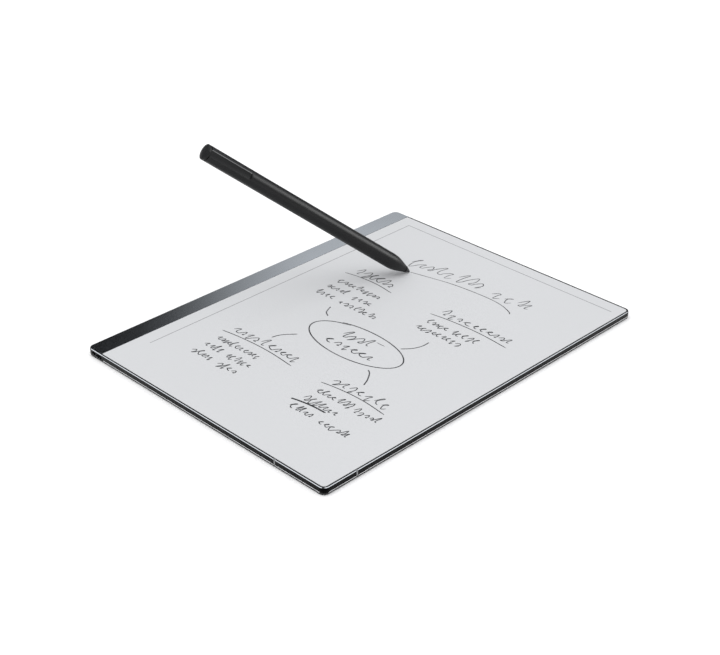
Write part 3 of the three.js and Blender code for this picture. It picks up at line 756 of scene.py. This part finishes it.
def make_frame_pieces(finishes):
    ring = tablet_slab("ring", 0, FRAME_BOTTOM, TOP, LOWER_CHAMFER, TOP_CHAMFER)
    open_through(ring, WALL - TOP_CHAMFER[0], WALL - LOWER_CHAMFER[0])

    def at_x(x):
        return Vector((x, 0, 0))

    def at_y(y):
        return Vector((0, y, 0))

    right, left, up, down = Vector((1, 0, 0)), Vector((-1, 0, 0)), Vector((0, 1, 0)), Vector((0, -1, 0))
    right_of_spine = (at_x(low("frame_bottom_rail").x), right)
    below_corner_top = (at_y(high("frame_corner").y), down)
    cuts = {
        "frame_side_rail": [(at_y(low("frame_side_rail").y), up), right_of_spine],
        "frame_bottom_rail": [
            below_corner_top, right_of_spine, (at_x(high("frame_bottom_rail").x), left)],
        "frame_corner": [below_corner_top, (at_x(low("frame_corner").x), right)],
        "frame_break_bottom": [
            below_corner_top,
            (at_x(low("frame_break_bottom").x), right),
            (at_x(high("frame_break_bottom").x), left),
        ],
        "frame_break_right": [
            (at_y(low("frame_break_right").y), up),
            (at_y(high("frame_break_right").y), down),
            (at_x(0), right),
        ],
    }
    for node, planes in cuts.items():
        piece = copy_of(ring, f"{node}_finished")
        for point, direction in planes:
            keep(piece, point, direction)
        soften(piece, SOFT_EDGE)
        if "break" in node:
            finish_piece(piece, "tablet", "break_plastic", finishes, [node])
        else:
            finish_piece(piece, "tablet", "frame_metal", finishes, [node])
            paint_chamfers(piece, finishes)
    discard(ring)


def pill_along_y(name, x, z, width, height, y0, y1, steps=10):
    """A bar along Y with a pill-shaped section."""
    piece = add_block(name, (x - width / 2, z - height / 2, y0), (x + width / 2, z + height / 2, y1))
    round_upright_edges(piece, height / 2 * 0.999, steps)
    # The bar is drawn standing up, then laid down so that its length runs along Y.
    take(piece)
    piece.matrix_world = Matrix(((1, 0, 0, 0), (0, 0, 1, 0), (0, 1, 0, 0), (0, 0, 0, 1)))
    bpy.ops.object.transform_apply(location=True, rotation=True, scale=True)
    fix_normals(piece)
    return piece


def fix_normals(piece):
    start_edit(piece, "FACE")
    bpy.ops.mesh.select_all(action="SELECT")
    bpy.ops.mesh.normals_make_consistent(inside=False)
    end_edit()


def make_spine(finishes):
    spine = tablet_slab("spine_bar_finished", 0, FRAME_BOTTOM, TOP, SPINE_LOWER_CHAMFER, TOP_CHAMFER)
    spine_end = Vector((high("spine_bar").x, 0, 0))
    keep(spine, spine_end, Vector((-1, 0, 0)))
    cavity = tablet_slab("cavity", WALL, 0, TOP - SPINE_TOP_WALL, (0, 0), (0, 0))
    join_or_cut(spine, cavity, "DIFFERENCE")
    notch = add_block(
        "notch",
        (SPINE_INNER_X, TABLET_LOW.y + WALL, 0),
        (SPINE_INNER_X + 20 * MM, TABLET_HIGH.y - WALL, TOP + 1 * MM),
    )
    join_or_cut(spine, notch, "DIFFERENCE")
    port = middle("usb_tongue")
    port_hole = pill_along_y(
        "port_hole", port.x, port.z, PORT_WIDTH, PORT_HEIGHT, TABLET_LOW.y - MM, TABLET_LOW.y + 2 * MM)
    join_or_cut(spine, port_hole, "DIFFERENCE")
    button = middle("power_button")
    button_hole = pill_along_y(
        "button_hole", button.x, button.z, BUTTON_WIDTH + 2 * BUTTON_CLEARANCE,
        BUTTON_HEIGHT + 2 * BUTTON_CLEARANCE, TABLET_HIGH.y - 2 * MM, TABLET_HIGH.y + MM)
    join_or_cut(spine, button_hole, "DIFFERENCE")
    first, last = low("contact_1"), high("contact_5")
    margin_y, margin_z = CONTACT_SLOT_MARGIN
    slot = add_block(
        "contact_slot",
        (TABLET_LOW.x - MM, first.y - margin_y, first.z - margin_z),
        (TABLET_LOW.x + 2 * MM, last.y + margin_y, last.z + margin_z),
    )
    join_or_cut(spine, slot, "DIFFERENCE")
    soften(spine, SOFT_EDGE)
    finish_piece(spine, "tablet", "spine_metal", finishes, ["spine_bar"])
    # Only the top is bare anodised metal; the chamfers round it are polished and the sides black.
    for name in ("frame_metal", "chamfer_metal"):
        spine.data.materials.append(finishes[name])
    for face in spine.data.polygons:
        if face.normal.z < 0.3:
            face.material_index = 1
        elif face.normal.z < 0.97:
            face.material_index = 2
            face.use_smooth = False


def make_power_button(finishes):
    button_low, button_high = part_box("power_button")
    centre = middle("power_button")
    flange_front = button_low.y + BUTTON_FLANGE
    cap = pill_along_y(
        "power_button_finished", centre.x, centre.z, BUTTON_WIDTH, BUTTON_HEIGHT,
        flange_front - 0.1 * MM, button_high.y)
    flange = add_block("flange", button_low, (button_high.x, flange_front, button_high.z))
    join_or_cut(cap, flange, "UNION")
    soften(cap, 0.12 * MM, 3)
    finish_piece(cap, "power_button", "spine_metal", finishes, ["power_button"])


def make_rear_cover(finishes):
    cover_low = low("rear_cover")
    inset = cover_low.x - TABLET_LOW.x
    cover = tablet_slab(
        "rear_cover_finished", inset, cover_low.z, FRAME_BOTTOM - COVER_GAP, (0, 0), (0, 0))
    round_flat_edges(cover, cover_low.z, 0.18 * MM)
    # The inside of the tray is set down, which leaves a thin floor and a rim.
    raise_end(cover, 1, COVER_RIM, 0)
    start_edit(cover, "FACE")
    choose("FACE", lambda face: face.normal.z > 0.999 and len(face.verts) > 8)
    bpy.ops.transform.translate(value=(0, 0, -COVER_SETDOWN))
    end_edit()
    for number in range(1, 5):
        foot_low, foot_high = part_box(f"foot_{number}")
        ease = Vector((FOOT_EASE, FOOT_EASE, FOOT_EASE))
        recess = add_block("recess", foot_low - ease, foot_high + ease)
        round_upright_edges(recess, (foot_high.y - foot_low.y) / 2 + FOOT_EASE * 0.99, 10)
        join_or_cut(cover, recess, "DIFFERENCE")
    finish_piece(cover, "tablet", "cover_plastic", finishes, ["rear_cover"])


def make_feet(finishes):
    for number in range(1, 5):
        foot_low, foot_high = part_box(f"foot_{number}")
        foot = add_block(f"foot_{number}_finished", foot_low, foot_high)
        round_upright_edges(foot, (foot_high.y - foot_low.y) / 2 * 0.999, 10)
        round_flat_edges(foot, foot_low.z, 0.2 * MM)
        finish_piece(foot, "tablet", "foot_rubber", finishes, [f"foot_{number}"])


def make_screen(finishes):
    cover_low, cover_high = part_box("screen_cover")
    screen = add_block("screen_cover_finished", cover_low, cover_high)
    radius = CORNER_R - (TABLET_HIGH.x - cover_high.x)
    round_upright_edges(screen, radius, CORNER_STEPS, lambda place: place.x > 0)
    round_flat_edges(screen, cover_high.z, 0.07 * MM)
    finish_piece(screen, "tablet", "screen_film", finishes, ["screen_cover"])


def make_port(finishes):
    shell_low, shell_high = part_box("usb_shell")
    centre = middle("usb_shell")
    size = shell_high - shell_low
    shell = pill_along_y(
        "usb_shell_finished", centre.x, centre.z, size.x, size.z, shell_low.y, shell_high.y)
    hollow = pill_along_y(
        "hollow", centre.x, centre.z, size.x - 2 * PORT_WALL, size.z - 2 * PORT_WALL,
        shell_low.y - MM, shell_high.y - PORT_END_WALL)
    join_or_cut(shell, hollow, "DIFFERENCE")
    soften(shell, 0.06 * MM)
    finish_piece(shell, "tablet", "inner_steel", finishes, ["usb_shell"])
    tongue_low, tongue_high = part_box("usb_tongue")
    tongue = add_block("usb_tongue_finished", tongue_low, tongue_high)
    soften(tongue, 0.1 * MM, 2)
    finish_piece(tongue, "tablet", "chip_resin", finishes, ["usb_tongue"])
    # Contact strips on the tongue's upper face, half as wide as their spacing.
    margin = 0.3 * MM
    pitch = (tongue_high.x - tongue_low.x - 2 * margin) / TONGUE_STRIPS
    start_x = tongue_low.x + margin
    first = add_block(
        "usb_tongue_strips",
        (start_x + pitch * 0.25, tongue_low.y + margin, tongue_high.z - 0.02 * MM),
        (start_x + pitch * 0.75, tongue_high.y - 1.2 * MM, tongue_high.z + 0.03 * MM),
    )
    soften(first, 0.015 * MM, 1)
    repeat = first.modifiers.new("strips", "ARRAY")
    repeat.count = TONGUE_STRIPS
    repeat.use_relative_offset = False
    repeat.use_constant_offset = True
    repeat.constant_offset_displace = (pitch, 0, 0)
    take(first)
    bpy.ops.object.modifier_apply(modifier=repeat.name)
    finish_piece(first, "tablet", "contact_gold", finishes)


def make_contacts(finishes):
    for number in range(1, 6):
        node = f"contact_{number}"
        pad = add_block(f"{node}_finished", *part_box(node))
        soften(pad, 0.12 * MM, 3)
        finish_piece(pad, "tablet", "contact_gold", finishes, [node])


# ---- Page marks: a guide line, and a loose mind map in unreadable scribble ----
def draw(name, strokes, width, finish_name, finishes):
    """Turns runs of (x, y) points in millimetres into thin flat lines on the page."""
    curve = bpy.data.curves.new(name, "CURVE")
    curve.dimensions = "3D"
    curve.bevel_depth = width / 2
    curve.bevel_resolution = 1
    curve.use_fill_caps = True
    for points in strokes:
        line = curve.splines.new("POLY")
        line.points.add(len(points) - 1)
        for index, (x, y) in enumerate(points):
            line.points[index].co = (x * MM, y * MM, 0, 1)
            ends = min(index, len(points) - 1 - index)
            line.points[index].radius = (0.45, 0.8)[min(ends, 1)] if ends < 2 else 1.0
    piece = bpy.data.objects.new(name, curve)
    bpy.context.scene.collection.objects.link(piece)
    take(piece)
    bpy.ops.object.convert(target="MESH")
    piece = bpy.context.object
    piece.scale = (1, 1, INK_THICKNESS / width)
    piece.location = (0, 0, SCREEN_TOP + INK_THICKNESS * 0.55)
    bpy.ops.object.transform_apply(location=True, rotation=True, scale=True)
    finish_piece(piece, "tablet", finish_name, finishes, smooth=60)


def smooth_run(points, steps=8):
    """A smooth line through a few points (Catmull-Rom)."""
    run = []
    padded = [points[0], *points, points[-1]]
    for a, b, c, d in zip(padded, padded[1:], padded[2:], padded[3:]):
        for step in range(steps):
            t = step / steps
            run.append(tuple(
                0.5 * (2 * q + (r - p) * t + (2 * p - 5 * q + 4 * r - s) * t * t
                       + (3 * q - p - 3 * r + s) * t ** 3)
                for p, q, r, s in zip(a, b, c, d)
            ))
    run.append(points[-1])
    return run


def scribble(x, y, length, seed, height, rise, pitch):
    """One unreadable word: waves of uneven height and lean, with the pen lifted now and then."""
    chance = random.Random(seed)
    strokes, run, at = [], [], 0
    while at < length - pitch * 0.4:
        width = pitch * chance.uniform(0.75, 1.35)
        tall = height * chance.choice((0.5, 0.55, 0.6, 0.65, 1.0))
        drop = height * chance.choice((0, 0, 0, 0.06, -0.3))
        lean = chance.uniform(0.12, 0.3)
        belly = chance.choice((0.2, 0.45, 0.75))
        wave = (
            (0.0, tall * 0.3), (0.3, tall * 0.95), (0.5, tall),
            (belly, tall * 0.45), (0.55, drop), (0.9, 0.1),
        )
        for part, level in wave:
            wobble = chance.uniform(-0.05, 0.05) * height
            across = at + part * width + (level + wobble) * lean
            run.append((x + across, y + level + wobble + rise * (at / length)))
        at += width
        if chance.random() < LIFT_CHANCE:
            strokes.append(smooth_run(run, 4))
            run = []
            at += pitch * 0.2
    if run:
        strokes.append(smooth_run(run, 4))
    return strokes


def underline(x0, x1, y, bow, tilt=0.0):
    """A hand-drawn line that bows upwards in its middle."""
    return smooth_run([
        (x0 + (x1 - x0) * t, y + tilt * t + bow * 4 * t * (1 - t)) for t in (0, 0.2, 0.45, 0.7, 1)
    ])


def note_block(x, y, heading_length, first_line, spacing, lines, seed):
    """A heading with its underline, and lines of words below it; lines hold word lengths."""
    heading = scribble(x, y, heading_length, seed, **HEADING)
    words = [underline(x - 3.5, x + heading_length + 3, y - 4.4, 2.2, 0.9)]
    for row, lengths in enumerate(lines):
        at = x + 0.5
        line_y = y - first_line - spacing * row
        for number, length in enumerate(lengths):
            word_seed = seed * 31 + row * 7 + number
            words += scribble(at, line_y, length, word_seed, **WORD)
            at += length + WORD_SPACE
    return heading, words


def hand_drawn_ring(t):
    """Point t of the way round an oval that overshoots its own start and drifts a little."""
    angle = math.radians(118) + t * math.radians(372)
    drift = 0.4 * math.sin(2 * angle)
    return (8.4 + 33.4 * math.cos(angle) + drift, -17 + 15.1 * math.sin(angle) + 0.8 * t)


def make_page_marks(finishes):
    headings, words = [], []
    blocks = [
        note_block(-52, 43.5, 31, 15, 9.3, [(32,), (17, 15), (15, 28)], 3),
        note_block(18, 42.5, 49, 13, 8.2, [(15, 16), (30,)], 11),
        note_block(-51.5, -54, 49, 12.3, 9.3, [(32,), (14, 18), (17, 14)], 23),
        note_block(27, -53, 39, 12.4, 10, [(23, 15), (26,), (18, 19)], 37),
    ]
    for heading, block_words in blocks:
        headings += heading
        words += block_words
    title = scribble(-37, 75, 53, 51, 8.5, 8, 6) + scribble(24, 80, 27, 52, 8.5, 1.5, 6)
    centre = scribble(-5, -15, 22, 61, 7, 2.5, 4.8) + scribble(-8, -25, 35, 62, 6.6, 1.8, 4.6)
    centre.append([(15.7, -7), (18.5, -7.1), (21.8, -6.9)])
    draw("page_title_strokes", title, STROKE, "graphite_light", finishes)
    draw("page_heading_strokes", headings, STROKE, "graphite", finishes)
    draw("page_word_strokes", words, STROKE, "graphite", finishes)
    draw("page_centre_strokes", centre, STROKE * 1.15, "graphite", finishes)

    ring = [hand_drawn_ring(step / 72) for step in range(73)]
    links = [
        smooth_run([(-31.4, 3.4), (-29.6, -1), (-28.1, -3.3), (-24.8, -5.3)]),
        smooth_run([(29.7, -2.8), (34, 2.2), (36.1, 7.9), (36.1, 13.5)]),
        smooth_run([(-29.6, -44.4), (-27.7, -38.6), (-22, -31.7)]),
        smooth_run([(32.6, -31.1), (35.5, -33), (39.4, -38.6), (41.6, -43.6)]),
    ]
    draw("page_ring_and_links", [ring, *links], STROKE * 1.25, "graphite", finishes)
    sweep = smooth_run([(-28.2, 67.2), (-13.7, 70.7), (-0.7, 73.5), (14.5, 75.1), (28.1, 75.5),
                        (37.7, 74.3), (45.3, 71.4), (47, 69.6)])
    draw("page_sweep_stroke", [sweep], STROKE, "graphite_light", finishes)
    bold = underline(23.7, 46.6, -79.2, 0.9, 2.7)
    draw("page_bold_stroke", [bold], STROKE * 1.9, "graphite", finishes)
    corner = [(-72.4, -96), (-72.4, 113.3), (86.6, 113.3)]
    draw("page_guide_line", [corner[:2], corner[1:]], GUIDE_LINE, "guide_ink", finishes)


# ---- Stylus: drawn standing on its tip, then laid into the frame's pose ----
def stylus_pose():
    """Finds the axis from two round inner pieces that lie centred on it."""
    near, far = middle("nib_sensor"), middle("eraser_sensor")
    axis = (far - near).normalized()
    tip = near - axis * SENSOR_MIDDLE
    heading = math.atan2(axis.y, axis.x)
    lean = math.acos(axis.z)
    return Matrix.Translation(tip) @ Matrix.Rotation(heading, 4, "Z") @ Matrix.Rotation(lean, 4, "Y")


def turn_on_lathe(name, profile, steps=PEN_STEPS):
    """Extrudes a run of (radius, height) points and spins it about Z into a closed solid."""
    first_radius, first_height = profile[0]
    bpy.ops.object.select_all(action="DESELECT")
    bpy.ops.mesh.primitive_plane_add(size=MM, location=(first_radius, 0, first_height))
    piece = bpy.context.object
    piece.name = name
    bpy.ops.object.transform_apply(location=True, rotation=True, scale=True)
    start_edit(piece, "VERT")
    bpy.ops.mesh.select_all(action="SELECT")
    bpy.ops.mesh.merge(type="CENTER")
    for (r0, z0), (r1, z1) in zip(profile, profile[1:]):
        bpy.ops.mesh.extrude_region_move(TRANSFORM_OT_translate={"value": (r1 - r0, 0, z1 - z0)})
    bpy.ops.mesh.select_all(action="SELECT")
    bpy.ops.mesh.spin(steps=steps, angle=math.tau, center=(0, 0, 0), axis=(0, 0, 1), use_auto_merge=True)
    bpy.ops.mesh.select_all(action="SELECT")
    bpy.ops.mesh.remove_doubles(threshold=1e-7)
    bpy.ops.mesh.normals_make_consistent(inside=False)
    end_edit()
    return piece


def lay_in_pose(piece, pose):
    take(piece)
    piece.matrix_world = pose
    bpy.ops.object.transform_apply(location=True, rotation=True, scale=True)


def arc_points(centre, radius, start_deg, end_deg, steps):
    run = []
    for step in range(steps + 1):
        angle = math.radians(start_deg + (end_deg - start_deg) * step / steps)
        run.append((centre[0] + radius * math.cos(angle), centre[1] + radius * math.sin(angle)))
    return run


def nose_profile():
    """The straight taper behind the nib, which curves into the barrel."""
    slope = (PEN_R - NOSE_R) / (NOSE_TAPER_END - NOSE_START)
    blend_r = NOSE_R + slope * (NOSE_BLEND[0] - NOSE_START)
    steps = 12
    run = [(NOSE_R, NOSE_START + NOSE_EDGE)]
    for step in range(steps + 1):
        t = step / steps
        radius = blend_r + (PEN_R - blend_r) * (2 * t - t * t)
        run.append((radius, NOSE_BLEND[0] + (NOSE_BLEND[1] - NOSE_BLEND[0]) * t))
    return run


def paint_pocket_rim(barrel, pose, finishes):
    """Gives the pocket's sloping upper wall a lighter finish, a painted highlight that stands in for the
    light the rim catches.
    """
    barrel.data.materials.append(finishes["stylus_rim"])
    standing = pose.inverted()
    wall_facing = LABEL_ANGLE + LABEL_TILT - math.radians(45)
    facing = Vector((math.cos(wall_facing), math.sin(wall_facing), 0))
    for face in barrel.data.polygons:
        place = standing @ face.center
        beside = math.atan2(place.y, place.x) - LABEL_ANGLE
        normal = standing.to_3x3() @ face.normal
        in_pocket = LABEL_START < place.z < BARREL_END and 0.2 < beside < 0.8
        if in_pocket and normal.dot(facing) > 0.85:
            face.material_index = 1


def make_barrel(pose, finishes):
    profile = [
        (NOSE_BORE, NOSE_START), (NOSE_R - NOSE_EDGE, NOSE_START),
        *nose_profile(),
        *[(PEN_R, z) for z in BARREL_RINGS],
        *arc_points((PEN_R - BARREL_RIM, BARREL_END - BARREL_RIM), BARREL_RIM, 0, 90, 3),
        (BORE, BARREL_END), (BORE, BORE_CONE[1]), (NOSE_BORE, BORE_CONE[0]), (NOSE_BORE, NOSE_START),
    ]
    barrel = turn_on_lathe("stylus_barrel_finished", profile)
    pocket = add_block(
        "pocket",
        (PEN_R - LABEL_DEPTH, -LABEL_WIDTH / 2, LABEL_START),
        (PEN_R + 2 * MM, LABEL_WIDTH / 2, BARREL_END + 2 * MM),
    )
    # The wall on one side slopes at 45 degrees; the cutter's outer edge is drawn out to match.
    start_edit(pocket, "EDGE")
    choose("EDGE", lambda edge: edge_middle(edge).x > PEN_R + MM
           and edge_middle(edge).y > LABEL_WIDTH / 2 - SLACK)
    bpy.ops.transform.translate(value=(0, 2 * MM + LABEL_DEPTH, 0))
    end_edit()
    start_edit(pocket, "EDGE")
    choose("EDGE", lambda edge: edge_middle(edge).z < LABEL_START + SLACK
           and abs(edge.verts[0].co.x - edge.verts[1].co.x) > MM)
    bpy.ops.mesh.bevel(offset=LABEL_CORNER, segments=8, profile=0.5, affect="EDGES")
    end_edit()
    centre = Vector((PEN_R - LABEL_DEPTH, 0, 0))
    tilt = Matrix.Translation(centre) @ Matrix.Rotation(LABEL_TILT, 4, "Z") @ Matrix.Translation(-centre)
    lay_in_pose(pocket, Matrix.Rotation(LABEL_ANGLE, 4, "Z") @ tilt)
    join_or_cut(barrel, pocket, "DIFFERENCE")
    soften(barrel, 0.18 * MM, 3, 28)
    lay_in_pose(barrel, pose)
    finish_piece(barrel, "stylus", "stylus_plastic", finishes, ["stylus_barrel"], smooth=25)
    paint_pocket_rim(barrel, pose, finishes)
    return barrel


def make_nib(pose, finishes):
    base_r = NOSE_R - 0.1 * MM
    profile = [
        (0, 0), *arc_points((0, NIB_TIP_R), NIB_TIP_R, -75, -25, 5),
        (base_r - 0.03 * MM, NIB_BASE - 0.3 * MM), (base_r, NIB_BASE - 0.18 * MM),
        (base_r - 0.12 * MM, NIB_BASE), (STEM_R, NIB_BASE), (STEM_R, NIB_STEM_END), (0, NIB_STEM_END),
    ]
    nib = turn_on_lathe("nib_finished", profile, 64)
    lay_in_pose(nib, pose)
    return finish_piece(nib, "nib", "nib_plastic", finishes, ["nib"], smooth=30)


def make_eraser_cap(pose, finishes):
    seam = BARREL_END + CAP_SEAM
    seam_edge = 0.1 * MM
    profile = [
        (0, CAP_STEM_START), (STEM_R, CAP_STEM_START), (STEM_R, CAP_PLUG_START),
        (CAP_PLUG_R, CAP_PLUG_START), (CAP_PLUG_R, seam), (PEN_R - seam_edge, seam),
        (PEN_R, seam + seam_edge),
        *arc_points((PEN_R - CAP_EDGE, PEN_LENGTH - CAP_DOME - CAP_EDGE), CAP_EDGE, 0, 75, 6),
        (PEN_R * 0.7, PEN_LENGTH - CAP_DOME * 0.5), (PEN_R * 0.35, PEN_LENGTH - CAP_DOME * 0.12),
        (0, PEN_LENGTH),
    ]
    cap = turn_on_lathe("eraser_cap_finished", profile)
    lay_in_pose(cap, pose)
    return finish_piece(cap, "eraser", "stylus_plastic", finishes, ["eraser_cap"], smooth=25)


# ---- Put together ----
def finish_inner_nodes(finishes):
    """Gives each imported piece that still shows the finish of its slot."""
    for entry in frame["record"]["subparts"]:
        node = NODES[entry["node"]]
        for holder in node.material_slots:
            holder.material = finishes[entry["material_slot"]]


def make_all():
    set_stage()
    finishes = make_finishes()
    finish_inner_nodes(finishes)
    make_frame_pieces(finishes)
    make_spine(finishes)
    make_power_button(finishes)
    make_rear_cover(finishes)
    make_feet(finishes)
    make_screen(finishes)
    make_port(finishes)
    make_contacts(finishes)
    make_page_marks(finishes)
    pose = stylus_pose()
    stylus = [make_barrel(pose, finishes), make_nib(pose, finishes), make_eraser_cap(pose, finishes)]
    for piece in stylus:
        bpy.data.collections["lit_by_strip"].objects.link(piece)


make_all()
